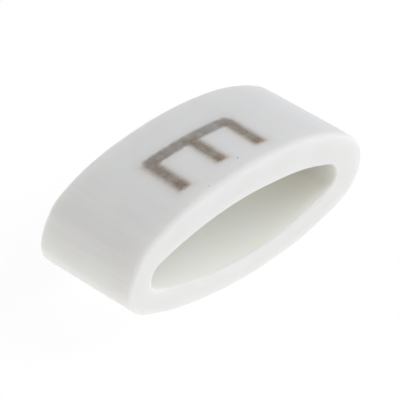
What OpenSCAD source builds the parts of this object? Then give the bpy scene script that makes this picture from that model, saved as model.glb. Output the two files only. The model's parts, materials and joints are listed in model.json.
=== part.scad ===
// Slip-on cable marker: a short length of extruded sleeve with an eye-shaped section.
// The sleeve lies on its base, with the crown up and the cable passage along Y.
// The origin is under the middle of the sleeve, on the surface that it lies on.

/* [Passage] */
// Width of the cable passage, from tip to tip
passage_w = 8.6; // [7:0.1:12]
// Height of the cable passage at its middle
passage_h = 2.4; // [2:0.1:4]
// Radius of the passage's two tips
passage_tip_r = 0.55; // [0.3:0.05:0.8]
// Sideways offset of the passage in the extruded section
passage_offset = -0.15; // [-0.3:0.05:0.3]

/* [Sleeve] */
// Length of the sleeve along the cable
length = 4; // [2:0.5:12]
// Wall over the middle of the passage, on the marked side
crown_wall = 1.2; // [0.9:0.05:1.6]
// Wall under the middle of the passage
base_wall = 0.95; // [0.8:0.05:1.4]
// Wall at each tip, with the passage in the middle
end_wall = 1.1; // [0.8:0.05:1.6]
// Outer radius of the sleeve's two blunt tips
tip_r = 1.45; // [1:0.05:1.7]
// Rounding of the outer edges at the two cut ends
edge_r = 0.16; // [0.05:0.01:0.4]

/* [Hidden] */
$fn = 144;
// Sides of the small circle that rounds an outer edge
edge_sides = 48;
// Length of the passage's cutter, as a share of the sleeve's
cutter_share = 1.5;
// A shallow arc stops short of a tip where it is this far above it, so that the two overlap
seam_step = 0.006;

// Both outlines have their tip circles on the level of the passage's middle
crown_rise = passage_h / 2 + crown_wall;
base_drop = passage_h / 2 + base_wall;
tip_x = passage_w / 2 + end_wall - tip_r;
passage_tip_x = passage_w / 2 - passage_tip_r;

// Radius of the shallow arc that rises to a height at the middle and is tangent to a tip circle at x
function arc_r(x, rise, tip) = (x * x + rise * rise - tip * tip) / (2 * (rise - tip));

// How far from the point where they touch an arc of radius r is a seam step above its tip circle
function seam_run(r, tip) = sqrt(2 * seam_step / (1 / tip - 1 / r));

// Half section of the wall, from an inner radius out to its two rounded corners
module wall_section(inner, outer) {
    flat_end = outer - edge_r;
    half_straight = length / 2 - edge_r;
    translate([inner, -length / 2])
        square([flat_end - inner, length]);
    translate([inner, -half_straight])
        square([outer - inner, 2 * half_straight]);
    for (side = [-1, 1])
        translate([flat_end, side * half_straight])
            circle(edge_r, $fn = edge_sides);
}

// Shallow wall over the passage: the section turned about the arc's centre, and deep enough to
// reach into the passage, which is cut afterwards
module shallow_wall(rise, wall) {
    r = arc_r(tip_x, rise, tip_r);
    touch_angle = atan2(tip_x, r - rise);
    half_angle = touch_angle - asin(seam_run(r, tip_r) / r);
    translate([0, 0, rise - r])
        rotate([90, 0, 0])
            rotate([0, 0, 90 - half_angle])
                rotate_extrude(angle = 2 * half_angle)
                    wall_section(r - wall - passage_h / 4, r);
}

// Blunt tip: the section turned all the way round
module tip() {
    rotate([90, 0, 0])
        rotate_extrude()
            wall_section(0, tip_r);
}

// Outline of the passage: two equal shallow arcs that run into the circles of two tips
module passage_outline() {
    r = arc_r(passage_tip_x, passage_h / 2, passage_tip_r);
    touch_x = passage_tip_x * r / (r - passage_tip_r);
    half_w = touch_x - seam_run(r, passage_tip_r);
    intersection() {
        translate([0, passage_h / 2 - r])
            circle(r);
        translate([0, r - passage_h / 2])
            circle(r);
        square([2 * half_w, 2 * passage_h], center = true);
    }
    for (side = [-1, 1])
        translate([side * passage_tip_x, 0])
            circle(passage_tip_r);
}

// The one piece: walls with soft outer edges, and a passage with sharp edges cut through them
module marker_sleeve() {
    color([0.9, 0.9, 0.89])
        translate([0, 0, base_drop])
            difference() {
                union() {
                    shallow_wall(crown_rise, crown_wall);
                    mirror([0, 0, 1])
                        shallow_wall(base_drop, base_wall);
                    for (side = [-1, 1])
                        translate([side * tip_x, 0, 0])
                            tip();
                }
                translate([passage_offset, 0, 0])
                    rotate([90, 0, 0])
                        linear_extrude(cutter_share * length, center = true)
                            passage_outline();
            }
}

marker_sleeve();
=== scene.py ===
# %% [markdown]
# # A slip-on cable marker
# The real object is a short length cut from a soft white tube. It is pushed over a cable, grips it, and a
# letter burnt into its crown tells which cable it is. Relaxed, its section is an eye: two shallow arcs that
# run into two blunt tips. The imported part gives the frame, in metres: X runs across the section from tip to
# tip, Y along the cable and Z up through the marked crown.

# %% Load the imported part
import json
import math

import bmesh
import bpy
from mathutils import Matrix, Vector


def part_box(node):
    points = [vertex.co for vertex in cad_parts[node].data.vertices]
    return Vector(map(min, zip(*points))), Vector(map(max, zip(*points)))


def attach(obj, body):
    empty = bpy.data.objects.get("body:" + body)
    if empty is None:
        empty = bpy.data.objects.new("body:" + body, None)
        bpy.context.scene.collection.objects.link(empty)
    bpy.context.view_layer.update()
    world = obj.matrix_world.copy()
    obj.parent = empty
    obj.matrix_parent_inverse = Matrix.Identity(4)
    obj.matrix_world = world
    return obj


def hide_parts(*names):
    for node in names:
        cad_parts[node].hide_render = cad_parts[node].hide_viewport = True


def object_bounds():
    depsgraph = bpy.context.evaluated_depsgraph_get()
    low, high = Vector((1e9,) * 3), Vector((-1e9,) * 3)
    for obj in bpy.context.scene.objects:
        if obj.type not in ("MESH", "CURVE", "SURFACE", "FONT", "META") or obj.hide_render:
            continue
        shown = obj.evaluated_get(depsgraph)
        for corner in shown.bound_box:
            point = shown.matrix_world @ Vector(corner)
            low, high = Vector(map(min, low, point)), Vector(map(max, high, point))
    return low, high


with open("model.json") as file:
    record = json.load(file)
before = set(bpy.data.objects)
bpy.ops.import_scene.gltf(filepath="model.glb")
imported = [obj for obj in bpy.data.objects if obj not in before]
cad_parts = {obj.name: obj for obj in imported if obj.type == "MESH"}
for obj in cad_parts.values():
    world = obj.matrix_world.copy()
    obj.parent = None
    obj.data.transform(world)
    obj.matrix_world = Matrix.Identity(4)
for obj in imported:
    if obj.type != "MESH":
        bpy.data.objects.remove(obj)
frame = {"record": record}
cad_low, cad_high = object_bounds()
MM = 0.001
sleeve_low, sleeve_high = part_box("marker_sleeve")
print("sleeve of the part, mm:", [round(side / MM, 3) for side in sleeve_high - sleeve_low])

# %% [markdown]
# ## The section
# The tube is extruded through a die, so one section holds for the whole length. Both of its outlines are
# made of four arcs that touch without a corner. The box of the part and the middle of its cable passage give
# the place, the width and the length; the walls and the tip radii are the part's own. A shallow arc that has
# to rise to a given height and touch a tip circle has only one possible radius, so it is worked out.

# %% Sizes of the two outlines
passage = next(m for m in frame["record"]["mounts"] if m["name"] == "cable_passage")
passage_x = passage["pos_m"][0]
passage_z = passage["pos_m"][2]
front_y = sleeve_low.y
length = sleeve_high.y - sleeve_low.y
outer_tip_r = 1.45 * MM
outer_tip_x = sleeve_high.x - outer_tip_r
passage_half_w = 4.3 * MM
passage_tip_r = 0.55 * MM
passage_tip_x = passage_half_w - passage_tip_r
passage_rise = 1.2 * MM
crown_wall = 1.2 * MM
base_wall = 0.95 * MM
crown_rise = passage_rise + crown_wall
base_drop = passage_rise + base_wall


def arc_radius(tip_x, rise, tip_r):
    """Radius of the arc that rises above the tips' level and touches both tip circles."""
    return (tip_x ** 2 + rise ** 2 - tip_r ** 2) / (2 * (rise - tip_r))


print("crown arc, mm:", round(arc_radius(outer_tip_x, crown_rise, outer_tip_r) / MM, 3))
print("base arc, mm:", round(arc_radius(outer_tip_x, base_drop, outer_tip_r) / MM, 3))

# %% [markdown]
# ## Drawing the outlines
# An outline could be a curve object or a bent circle. Here it is drawn as with a pair of compasses: a plane
# is merged to one point, the pen, and Spin carries the pen round the centre of each arc in turn, which leaves
# a chain of edges behind. That keeps true arcs, and both outlines get the same number of points.

# %% A pen and compasses
arc_steps = 64
tip_steps = 30


def set_pen(x, z):
    """Puts a single point on the front end of the sleeve, as the start of an outline."""
    bpy.ops.mesh.primitive_plane_add(size=MM)
    bpy.ops.mesh.merge(type="CENTER")
    bpy.ops.transform.translate(value=(x, front_y, z))


def swing(x, z, degrees, steps):
    """Carries the pen round a centre, counterclockwise as the front end is seen."""
    turn = math.radians(degrees)
    bpy.ops.mesh.spin(steps=steps, angle=turn, center=(x, front_y, z), axis=(0, 1, 0))


def draw_eye(middle_x, tip_x, tip_r, rise, drop):
    """Draws an eye: its upper arc, its left tip, its lower arc and its right tip."""
    upper_r = arc_radius(tip_x, rise, tip_r)
    lower_r = arc_radius(tip_x, drop, tip_r)
    upper_half = math.degrees(math.atan2(tip_x, upper_r - rise))
    lower_half = math.degrees(math.atan2(tip_x, lower_r - drop))
    upper_z = passage_z + rise - upper_r
    lower_z = passage_z - drop + lower_r
    start = math.radians(upper_half)
    set_pen(middle_x + upper_r * math.sin(start), upper_z + upper_r * math.cos(start))
    swing(middle_x, upper_z, 2 * upper_half, arc_steps)
    swing(middle_x - tip_x, passage_z, 180 - upper_half - lower_half, tip_steps)
    swing(middle_x, lower_z, 2 * lower_half, arc_steps)
    swing(middle_x + tip_x, passage_z, 180 - upper_half - lower_half, tip_steps)


print("points on each outline:", 2 * (arc_steps + tip_steps))

# %% The outlines of the sleeve and of its passage
same_place = 0.001 * MM
bpy.ops.object.select_all(action="DESELECT")
bpy.ops.mesh.primitive_plane_add(size=MM)
sleeve = bpy.context.object
sleeve.name = "sleeve_with_letter"
bpy.ops.object.mode_set(mode="EDIT")
bpy.ops.mesh.select_all(action="SELECT")
bpy.ops.mesh.delete(type="VERT")
draw_eye(0, outer_tip_x, outer_tip_r, crown_rise, base_drop)
draw_eye(passage_x, passage_tip_x, passage_tip_r, passage_rise, passage_rise)
bpy.ops.mesh.select_all(action="SELECT")
bpy.ops.mesh.remove_doubles(threshold=same_place)
drawn = bmesh.from_edit_mesh(sleeve.data)
print("points and edges drawn:", len(drawn.verts), len(drawn.edges))

# %% [markdown]
# ## A little out of true
# A soft tube does not keep the die's section exactly. This one has sunk in the middle of its crown, and its
# shoulders bulge, all by less than a tenth of a millimetre. That could be sculpted later on the whole tube.
# It is easier here, while the section is only a chain of points: one point is pulled, and proportional
# editing lets the points within reach along the chain follow it softly. Each pull is given in millimetres:
# its place across and up, its reach, and how far the point moves across and up.

# %% Gentle pulls on the outlines
pulls = [
    (-0.3, 4.55, 2.4, 0.0, -0.030),
    (-3.6, 3.90, 2.2, -0.022, 0.075),
    (3.2, 4.03, 2.4, 0.018, 0.060),
    (4.9, 3.25, 0.8, -0.012, -0.022),
    (5.0, 1.15, 1.6, -0.035, 0.030),
    (2.6, 0.27, 1.3, 0.0, -0.035),
    (-2.0, 0.15, 3.0, 0.0, 0.030),
    (-4.3, 0.75, 1.0, 0.0, 0.050),
    (-5.2, 1.50, 0.9, -0.035, -0.015),
    (-5.3, 2.75, 1.1, 0.055, -0.035),
    (2.6, 3.05, 1.8, 0.0, 0.045),
    (-0.5, 3.35, 4.5, 0.0, 0.020),
    (0.5, 0.97, 4.5, 0.0, -0.095),
]
bpy.ops.mesh.select_mode(type="VERT")
for x, z, reach, move_x, move_z in pulls:
    bpy.ops.mesh.select_all(action="DESELECT")
    chain = bmesh.from_edit_mesh(sleeve.data)
    target = Vector((x * MM, front_y, z * MM))
    nearest = min(chain.verts, key=lambda point: (point.co - target).length)
    nearest.select_set(True)
    bmesh.update_edit_mesh(sleeve.data)
    bpy.ops.transform.translate(
        value=(move_x * MM, 0, move_z * MM),
        use_proportional_edit=True,
        use_proportional_connected=True,
        proportional_edit_falloff="SMOOTH",
        proportional_size=reach * MM,
    )
print("pulls:", len(pulls))

# %% [markdown]
# ## From outline to tube
# The two outlines are the edges of the cut face. Bridge fills the wall between them with a ring of faces, and
# Extrude pulls that ring along Y as the die does. The faces are then turned to point outwards, also in the
# passage, where outwards means towards the hole.

# %% Wall and length
bpy.ops.mesh.select_all(action="SELECT")
bpy.ops.mesh.bridge_edge_loops(number_cuts=1, interpolation="LINEAR")
bpy.ops.mesh.select_mode(type="FACE")
bpy.ops.mesh.select_all(action="SELECT")
bpy.ops.mesh.extrude_region_move(TRANSFORM_OT_translate={"value": (0, length, 0)})
bpy.ops.mesh.select_all(action="SELECT")
bpy.ops.mesh.normals_make_consistent(inside=False)
tube = bmesh.from_edit_mesh(sleeve.data)
print("faces:", len(tube.faces), "open edges:", sum(not edge.is_manifold for edge in tube.edges))

# %% [markdown]
# ## Edges left by the blade
# The tube is cut with a blade that comes down through it. Where the blade enters a wall it drags the soft
# edge in and leaves it round, as on the crown and, less, on the floor of the passage. Where it leaves a wall,
# the edge stays sharp. So the radius of each edge follows from how far its side wall faces up, and an upright
# wall counts as facing up a little. A Bevel modifier takes such radii as a weight on each edge. The edges are
# found by place: they lie on an end, beside one side wall.

# %% Mark the rims
entry_r = 0.20 * MM
mouth_entry_r = 0.08 * MM
exit_r = 0.08 * MM
mouth_exit_r = 0.05 * MM
upright_share = 0.3
end_limit = 0.5
bpy.ops.mesh.select_mode(type="EDGE")
tube = bmesh.from_edit_mesh(sleeve.data)
weights = tube.edges.layers.float.new("bevel_weight_edge")
marked_rims = 0
for edge in tube.edges:
    middle = (edge.verts[0].co + edge.verts[1].co) / 2
    walls = [face for face in edge.link_faces if abs(face.normal.y) < end_limit]
    if abs(abs(middle.y) - length / 2) < same_place and len(walls) == 1:
        outwards = middle - Vector((passage_x, middle.y, passage_z))
        is_outer = walls[0].normal.dot(outwards) > 0
        high, low = (entry_r, exit_r) if is_outer else (mouth_entry_r, mouth_exit_r)
        facing_up = min(max(walls[0].normal.z + upright_share, 0), 1)
        edge[weights] = (low + (high - low) * facing_up) / entry_r
        marked_rims += 1
bmesh.update_edit_mesh(sleeve.data)
print("rim edges:", marked_rims)

# %% [markdown]
# ## A cut that is not quite square
# The blade leaned by a degree and a half, so the front end is turned about the width of the tube, round its
# middle, and stands a little further out there. Turning the faces of the end keeps the walls straight. The
# Bevel comes after that, so that its rounds follow the leaning face.

# %% Lean of the front cut, and round rims
bpy.ops.mesh.select_mode(type="FACE")
bpy.ops.mesh.select_all(action="DESELECT")
tube = bmesh.from_edit_mesh(sleeve.data)
for face in tube.faces:
    if face.normal.y < -end_limit:
        face.select_set(True)
bmesh.update_edit_mesh(sleeve.data)
lean = math.radians(-1.5)
further_out = 0.03 * MM
bpy.ops.transform.rotate(value=lean, orient_axis="X", center_override=(0, front_y, passage_z))
bpy.ops.transform.translate(value=(0, -further_out, 0))
bpy.ops.object.mode_set(mode="OBJECT")
rims = sleeve.modifiers.new("blade_rims", "BEVEL")
rims.limit_method = "WEIGHT"
rims.offset_type = "OFFSET"
rims.width = entry_r
rims.segments = 7
rims.profile = 0.5
rims.use_clamp_overlap = False
bpy.ops.object.modifier_apply(modifier=rims.name)
print("front end, mm:", round(min(point.co.y for point in sleeve.data.vertices) / MM, 3))

# %% Smooth shading and the place in the frame
crease = math.radians(40)
bpy.ops.object.shade_smooth_by_angle(angle=crease)
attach(sleeve, "root")
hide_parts("marker_sleeve")
print("faces of the finished sleeve:", len(sleeve.data.polygons))

# %% [markdown]
# ## Shader maths as plain expressions
# A material is a net of small nodes. To keep it readable, one class holds a socket, and Python's operators on
# it add Math nodes, so that 1 - mask is written as it is thought. Any other node comes from one method.

# %% A socket that can be calculated with
class Signal:
    """A socket of a material's nodes."""

    def __init__(self, tree, socket=None):
        self.tree = tree
        self.socket = socket

    def node(self, kind, settings, inputs, output=0):
        """Adds a node: first its settings, then the values or links of its sockets."""
        made = self.tree.nodes.new(kind)
        for name, value in settings.items():
            setattr(made, name, value)
        for key, value in inputs.items():
            if isinstance(value, Signal):
                self.tree.links.new(value.socket, made.inputs[key])
            else:
                made.inputs[key].default_value = value
        return Signal(self.tree, made.outputs[output])

    def maths(self, operation, *values):
        return self.node("ShaderNodeMath", {"operation": operation}, dict(enumerate(values)))

    def __add__(self, other):
        return self.maths("ADD", self, other)

    def __sub__(self, other):
        return self.maths("SUBTRACT", self, other)

    def __rsub__(self, other):
        return self.maths("SUBTRACT", other, self)

    def __mul__(self, other):
        return self.maths("MULTIPLY", self, other)

    def __truediv__(self, other):
        return self.maths("DIVIDE", self, other)

    def __abs__(self):
        return self.maths("ABSOLUTE", self)

    __radd__ = __add__
    __rmul__ = __mul__

    def ramp(self, low, high, at_low=0.0, at_high=1.0):
        """Goes smoothly from one value to another while this signal goes from low to high."""
        settings = {"interpolation_type": "SMOOTHSTEP"}
        inputs = {"Value": self, "From Min": low, "From Max": high, "To Min": at_low, "To Max": at_high}
        return self.node("ShaderNodeMapRange", settings, inputs)

    def noise(self, scale, detail=2.0):
        """Soft noise from 0 to 1 at points of this vector."""
        inputs = {"Vector": self, "Scale": scale, "Detail": detail}
        return self.node("ShaderNodeTexNoise", {}, inputs)

    def tint(self, first, second):
        """A colour that goes from the first to the second as this signal goes from 0 to 1."""
        return self.node("ShaderNodeMix", {"data_type": "RGBA"}, {0: self, 6: first, 7: second}, 2)


def new_finish(name):
    """A material with empty nodes, its output and a start for its signals."""
    material = bpy.data.materials.new(name)
    material.use_nodes = True
    material.node_tree.nodes.clear()
    output = material.node_tree.nodes.new("ShaderNodeOutputMaterial")
    return material, output, Signal(material.node_tree)


print("operators on a signal:", "+ - * / abs")

# %% [markdown]
# ## The soft white polymer
# The tube is a flexible white plastic with a satin skin. It is slightly translucent, so light bleeds a few
# tenths of a millimetre through edges. All patterns read Object coordinates, turned to millimetres, so that
# they stay on the sleeve: fine grain, faint die lines along Y on the walls, and knife marks on the cut ends.
# An ellipse that runs within the wall tells the passage from the outside.

# %% Coordinates in millimetres
polymer, polymer_out, start = new_finish("soft_white_polymer")
place = start.node("ShaderNodeTexCoord", {}, {}, 3)
place_mm = start.node("ShaderNodeVectorMath", {"operation": "SCALE"}, {0: place, "Scale": 1 / MM})
place_x = start.node("ShaderNodeSeparateXYZ", {}, {0: place_mm}, 0)
place_y = start.node("ShaderNodeSeparateXYZ", {}, {0: place_mm}, 1)
place_z = start.node("ShaderNodeSeparateXYZ", {}, {0: place_mm}, 2)
print("nodes for coordinates:", len(polymer.node_tree.nodes))

# %% Grain, die lines and knife marks
along_tube = start.node("ShaderNodeMapping", {}, {"Vector": place_mm, "Scale": (1.0, 0.06, 1.0)})
die_lines = along_tube.noise(9.0, 3.0)
grain = place_mm.noise(14.0, 3.0)
across_cut = start.node("ShaderNodeMapping", {},
                        {"Vector": place_mm, "Rotation": (0, math.radians(24), 0), "Scale": (0.25, 1.0, 4.0)})
knife_marks = across_cut.noise(3.0, 3.0)
half_length = length / MM / 2
on_cut = abs(place_y).ramp(half_length - 0.16, half_length - 0.06)
relief = grain * 0.5 + die_lines * (1 - on_cut) * 0.6 + knife_marks * on_cut * 0.6
cloud = place_mm.noise(0.55, 1.0)
ellipse_half_w = 4.85
ellipse_half_h = 1.75
ellipse_z = 2.2
across = place_x / ellipse_half_w
upwards = (place_z - ellipse_z) / ellipse_half_h
in_passage = (across * across + upwards * upwards).ramp(1.0, 1.1, 1.0, 0.0) * (1 - on_cut)
print("nodes for grain and lines:", len(polymer.node_tree.nodes))

# %% [markdown]
# ## Painted shade on the lip
# The rounded edge along the floor of the passage catches the lamps as a bright line, which the real edge does
# not show. So a painted shade darkens the colour in a narrow band along that edge. It could be painted on the
# mesh.
# An arc that follows the floor is enough here: the band lies under that arc on the cut ends, and it fades out
# towards the tips.

# %% Painted shade along the edge of the passage floor
floor_r = 10.67
floor_x = -0.08
floor_z = 0.88
lip_x = place_x - floor_x
lip_z = place_z - floor_z - floor_r
under_floor = (lip_x * lip_x + lip_z * lip_z - floor_r ** 2) / (2 * floor_r)
# painted shade: a band along the rounded edge that the lamps would light as a bright line
lip_shade = under_floor.ramp(-0.04, 0.03) * under_floor.ramp(0.05, 0.14, 1.0, 0.0) * on_cut
lip_shade = lip_shade * abs(place_x).ramp(3.5, 4.1, 1.0, 0.0)
print("nodes with the lip:", len(polymer.node_tree.nodes))

# %% [markdown]
# ## The letter
# The mark is an E burnt in by a laser that hatches each stroke with close passes. It has no thickness, so it
# is a pattern in the material and not a mesh. Each stroke is a straight bar whose sides fade over a few
# tenths of a millimetre. The product of two fades gives one bar with round corners, and one minus the product
# of all that the bars leave bare joins them. Noise shakes the coordinates a little, so that no side is as
# straight as a ruler. A bar is given by its left, right, front and back in millimetres.

# %% Strokes
letter_place = start.node("ShaderNodeMapping", {"vector_type": "TEXTURE"}, {
    "Vector": place_mm,
    "Location": (-0.55, -0.40, 0),
    "Rotation": (0, 0, math.radians(-2.6)),
})
shake = start.node("ShaderNodeTexNoise", {}, {"Vector": place_mm, "Scale": 11.0, "Detail": 2.0}, 1)
shake = start.node("ShaderNodeVectorMath", {"operation": "SUBTRACT"}, {0: shake, 1: (0.5, 0.5, 0.5)})
letter_place = start.node("ShaderNodeVectorMath", {"operation": "MULTIPLY_ADD"},
                          {0: shake, 1: (0.09, 0.09, 0), 2: letter_place})
letter_u = start.node("ShaderNodeSeparateXYZ", {}, {0: letter_place}, 0)
letter_v = start.node("ShaderNodeSeparateXYZ", {}, {0: letter_place}, 1)
spine = (-1.83, 1.83, 0.500, 0.915)
arms = [
    (-1.970, -1.425, -0.970, 0.77),
    (-0.220, 0.312, -0.835, 0.72),
    (1.395, 1.945, -0.890, 0.74),
]


def burnt_strokes(bars, inner, outer):
    """1 inside any of the bars, and fading from an inner to an outer distance from their sides."""
    bare = 1.0
    for left, right, front, back in bars:
        beside = abs(letter_u - (left + right) / 2) - (right - left) / 2
        beyond = abs(letter_v - (front + back) / 2) - (back - front) / 2
        bar = beside.ramp(inner, outer, 1.0, 0.0) * beyond.ramp(0.5 * inner, outer, 1.0, 0.0)
        bare = (1 - bar) * bare
    return 1 - bare


on_crown = place_z.ramp(3.6, 3.9)
bare = (1 - burnt_strokes([spine], -0.14, 0.09)) * (1 - burnt_strokes(arms, -0.20, 0.12))
burn = (1 - bare) * on_crown
print("strokes of the letter:", 1 + len(arms))

# %% [markdown]
# ## How the burn varies
# The laser does not burn evenly. Its passes show as fine streaks along the arms, some patches come out
# darker, the arms are browner than the spine, and each arm ends in a dark brown spot where the beam slows
# down. Smoke greys the white a little round the letter, and heat stains it yellow beside the arms. All are
# shares of 1.

# %% Streaks, patches, smoke and stains
passes = start.node("ShaderNodeMapping", {}, {"Vector": letter_place, "Scale": (1.0, 0.16, 1.0)})
streaks = passes.noise(13.0, 1.0)
patches = place_mm.noise(4.2, 2.0)
grit = place_mm.noise(9.0, 2.0)
on_arms = burnt_strokes(arms, -0.12, 0.14)
at_ends = letter_v.ramp(-0.62, -0.46, 1.0, 0.0) * on_arms
before_ends = letter_v.ramp(-0.36, -0.12, 1.0, 0.0) * (1 - at_ends)
first_passes = letter_u.ramp(-1.95, -1.5, 1.0, 0.0)
depth = 0.735 + on_arms * 0.055 + at_ends * 0.03 - before_ends * 0.06 - letter_u * 0.01
depth = depth - first_passes * 0.09
depth = depth + (patches - 0.5) * 0.26 + (grit - 0.5) * 0.30 + (streaks - 0.5) * 0.20
burn = burn * depth
smoke = burnt_strokes([spine] + arms, 0.0, 0.42) * on_crown * 0.10
stain = burnt_strokes(arms, 0.0, 0.22) * on_crown * (0.20 + at_ends * 0.14)
print("nodes so far:", len(polymer.node_tree.nodes))

# %% [markdown]
# ## Specks
# Two dark specks lie on the crown, perhaps crumbs from the burning. Each is a small soft ball in space, and
# the skin goes dark where it passes through the ball, so a speck needs only its place and radius in
# millimetres and a strength.

# %% Specks on the skin
crumbs = [
    (-0.13, -1.49, 4.518, 0.045, 0.55),
    (-1.75, -1.80, 4.386, 0.038, 0.40),
]
clean = 1.0
for x, y, z, radius, strength in crumbs:
    away = start.node("ShaderNodeVectorMath", {"operation": "DISTANCE"}, {0: place_mm, 1: (x, y, z)}, 1)
    clean = (1 - away.ramp(0.3 * radius, radius, strength, 0.0)) * clean
print("specks:", len(crumbs))

# %% [markdown]
# ## Colours
# The white is not one flat colour. It is a little greyer in soft clouds, and paler along die lines, which
# show most at the tips. In the passage a painted bounce light tints it slightly green, and deep in the right
# corner a painted shade makes it darker and yellowish. Light that bounces between the walls did not give
# enough of that, so both are painted. A painted shade darkens the lip too. The mark goes over all that, and
# the crumbs over the mark.

# %% Colours of the skin, the painted light in the passage, the mark and the crumbs
white = (0.82, 0.82, 0.80, 1)
white_low = (0.805, 0.805, 0.785, 1)
white_lines = (0.836, 0.835, 0.812, 1)
# painted shade for the lip of the passage floor
lip_shaded_white = (0.75, 0.75, 0.732, 1)
# painted bounce light in the passage, and painted shade deep in its right corner
bounce_tinted_white = (0.815, 0.821, 0.777, 1)
corner_shaded_white = (0.803, 0.784, 0.712, 1)
smoked = (0.42, 0.39, 0.37, 1)
stained = (0.70, 0.58, 0.42, 1)
burnt_grey = (0.235, 0.200, 0.168, 1)
burnt_brown = (0.205, 0.158, 0.114, 1)
burnt_end = (0.200, 0.138, 0.096, 1)
crumb = (0.10, 0.09, 0.085, 1)
skin = cloud.ramp(0.35, 0.65).tint(white, white_low)
# where the painted shade of the right corner of the passage lies
corner_shade_share = place_x.ramp(1.0, 4.1) * place_y.ramp(-2.0, -0.8)
inside = corner_shade_share.tint(bounce_tinted_white, corner_shaded_white)
broad_lines = along_tube.noise(4.5, 2.0)
shown_lines = broad_lines.ramp(0.36, 0.64) * (1 - on_cut) * abs(place_x).ramp(3.0, 4.6, 0.2, 1.0)
skin = shown_lines.tint(skin, white_lines)
# painted bounce light and painted shade inside the passage
skin = in_passage.tint(skin, inside)
# painted shade along the lip of the passage floor
skin = lip_shade.tint(skin, lip_shaded_white)
skin = smoke.tint(skin, smoked)
skin = stain.tint(skin, stained)
char = on_arms.tint(burnt_grey, burnt_brown)
char = at_ends.tint(char, burnt_end)
marked = burn.tint(skin, char)
marked = (1 - clean).tint(marked, crumb)
print("nodes so far:", len(polymer.node_tree.nodes))

# %% [markdown]
# ## The finished polymer
# One Principled shader takes it all: the colours, a roughness that is higher on the burnt mark and on the cut
# ends, and a very shallow bump. Subsurface scattering gives the slight depth of a soft plastic. Its values
# are the same all over, so they are set on the shader itself.

# %% The finished polymer
bump = start.node("ShaderNodeBump", {}, {"Strength": 0.10, "Distance": 0.02 * MM, "Height": relief})
satin = grain * 0.08 + burn * 0.12 + on_cut * 0.36 + 0.47
shader = start.node("ShaderNodeBsdfPrincipled", {"subsurface_method": "RANDOM_WALK"}, {
    "Base Color": marked,
    "Roughness": satin,
    "Normal": bump,
    "IOR": 1.47,
    "Specular IOR Level": 0.3,
    "Subsurface Weight": 1.0,
    "Subsurface Radius": (1.0, 0.95, 0.85),
    "Subsurface Scale": 0.4 * MM,
})
start.tree.links.new(shader.socket, polymer_out.inputs["Surface"])
sleeve.data.materials.clear()
sleeve.data.materials.append(polymer)
print("nodes in the polymer:", len(polymer.node_tree.nodes))

# %% [markdown]
# ## Floor and surroundings
# The marker lies on a white sheet that is lit evenly, as on a light table. So most of the sheet's white is
# its own glow, which also lights the marker from below, and the rest is plain pale paper, which the marker
# can still shade a little. The surroundings give some even light, and the camera sees them white.

# %% White sheet
bpy.ops.object.select_all(action="DESELECT")
bpy.ops.mesh.primitive_plane_add(size=0.6)
sheet = bpy.context.object
sheet.name = "white_sheet"
paper, paper_out, start = new_finish("white_paper")
pale = start.node("ShaderNodeBsdfDiffuse", {}, {"Color": (0.9, 0.9, 0.89, 1)})
glow = start.node("ShaderNodeEmission", {}, {"Color": (1, 1, 1, 1), "Strength": 1.04})
shown = start.node("ShaderNodeMixShader", {}, {0: 0.88, 1: pale, 2: glow})
start.tree.links.new(shown.socket, paper_out.inputs["Surface"])
sheet.data.materials.append(paper)
print("sheet size, m:", tuple(round(side, 3) for side in sheet.dimensions))

# %% Even surroundings
world = bpy.data.worlds.new("studio")
bpy.context.scene.world = world
world.use_nodes = True
world.node_tree.nodes.clear()
world_out = world.node_tree.nodes.new("ShaderNodeOutputWorld")
start = Signal(world.node_tree)
seen = start.node("ShaderNodeLightPath", {}, {}, 0)
around = start.node("ShaderNodeBackground", {}, {"Color": (0.929, 0.937, 1.0, 1), "Strength": 0.253})
backdrop = start.node("ShaderNodeBackground", {}, {"Color": (1, 1, 1, 1), "Strength": 1.0})
shown = start.node("ShaderNodeMixShader", {}, {0: seen, 1: around, 2: backdrop})
start.tree.links.new(shown.socket, world_out.inputs["Surface"])
print("nodes in the surroundings:", len(world.node_tree.nodes))

# %% [markdown]
# ## Lights
# The cut face is the brightest side and the crown is a little greyer, so the main panel stands in front on
# the right, with a weaker one below it and two in front. Two panels behind light the far side of the crown
# and shine into the passage, and one on the left lights the left side. Each is a soft rectangle that faces
# the marker and stands clear of the sheet.

# %% Studio panels
panel_distance = 0.30


def add_panel(name, azimuth, elevation, width, height, power, colour):
    """A soft rectangular light that faces the marker from a direction, in degrees and metres."""
    turn = math.radians(azimuth)
    tilt = math.radians(elevation)
    away = Vector((math.sin(turn) * math.cos(tilt), -math.cos(turn) * math.cos(tilt), math.sin(tilt)))
    bpy.ops.object.light_add(type="AREA")
    panel = bpy.context.object
    panel.name = name
    panel.location = away * panel_distance
    panel.rotation_euler = away.to_track_quat("Z", "Y").to_euler()
    panel.data.shape = "RECTANGLE"
    panel.data.size = width
    panel.data.size_y = height
    panel.data.energy = power
    panel.data.color = colour


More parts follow.
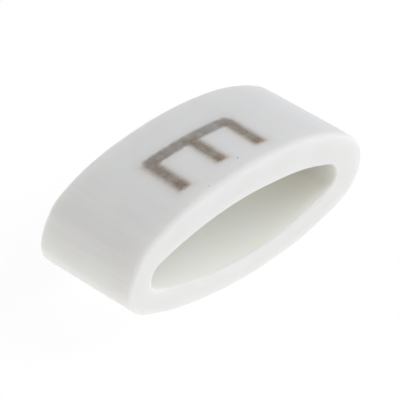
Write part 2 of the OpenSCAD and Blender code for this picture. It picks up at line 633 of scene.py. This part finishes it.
panels = [
    ("key_panel", 60, 42, 0.16, 0.16, 0.377, (0.963, 0.973, 1.0)),
    ("low_right_panel", 60, 20, 0.16, 0.16, 0.079, (0.86, 0.886, 1.0)),
    ("front_panel", 0, 42, 0.16, 0.16, 0.147, (0.967, 0.955, 1.0)),
    ("low_front_panel", 0, 9, 0.16, 0.08, 0.045, (0.98, 0.97, 1.0)),
    ("left_panel", 270, 20, 0.16, 0.16, 0.177, (1.0, 0.976, 0.93)),
    ("rear_panel", 180, 42, 0.16, 0.16, 0.084, (0.978, 1.0, 0.989)),
    ("low_rear_panel", 180, 20, 0.16, 0.16, 0.148, (1.0, 0.996, 1.0)),
]
for settings in panels:
    add_panel(*settings)
print("panels:", len(panels))
bpy.context.scene.view_settings.view_transform = "Standard"

# %% [markdown]
# ## Camera
# A long lens looks down on the front and left of the marker, with a slight roll. The direction, the roll, the
# aim and the distance come from fitting the part to the photo. The focal length is a round value in pixels,
# which becomes a lens for the camera's sensor. The camera's axes are worked out from the angles.

# %% The photo's viewpoint
azimuth = math.radians(-47.6032)
elevation = math.radians(35.2562)
roll = math.radians(2.4518)
distance = 112.3774 * MM
aim_left = 0.1198 * MM
aim_down = 0.173 * MM
level_part = math.cos(elevation)
back = Vector((math.sin(azimuth) * level_part, -math.cos(azimuth) * level_part, math.sin(elevation)))
level_right = Vector((math.cos(azimuth), math.sin(azimuth), 0))
level_up = back.cross(level_right)
right = math.cos(roll) * level_right + math.sin(roll) * level_up
up = math.cos(roll) * level_up - math.sin(roll) * level_right
middle = (cad_low + cad_high) / 2
aim = middle - aim_left * right - aim_down * up
bpy.ops.object.camera_add()
camera = bpy.context.object
camera.name = "photo_camera"
axes = Matrix((right, up, back)).transposed().to_4x4()
camera.matrix_world = Matrix.Translation(aim + back * distance) @ axes
photo_width_px = 400
focal_length_px = 3500
camera.data.sensor_width = 36
camera.data.lens = focal_length_px * camera.data.sensor_width / photo_width_px
camera.data.clip_start = 5 * MM
camera.data.clip_end = 5
bpy.context.scene.camera = camera
print("camera at, mm:", [round(value / MM, 2) for value in camera.location])
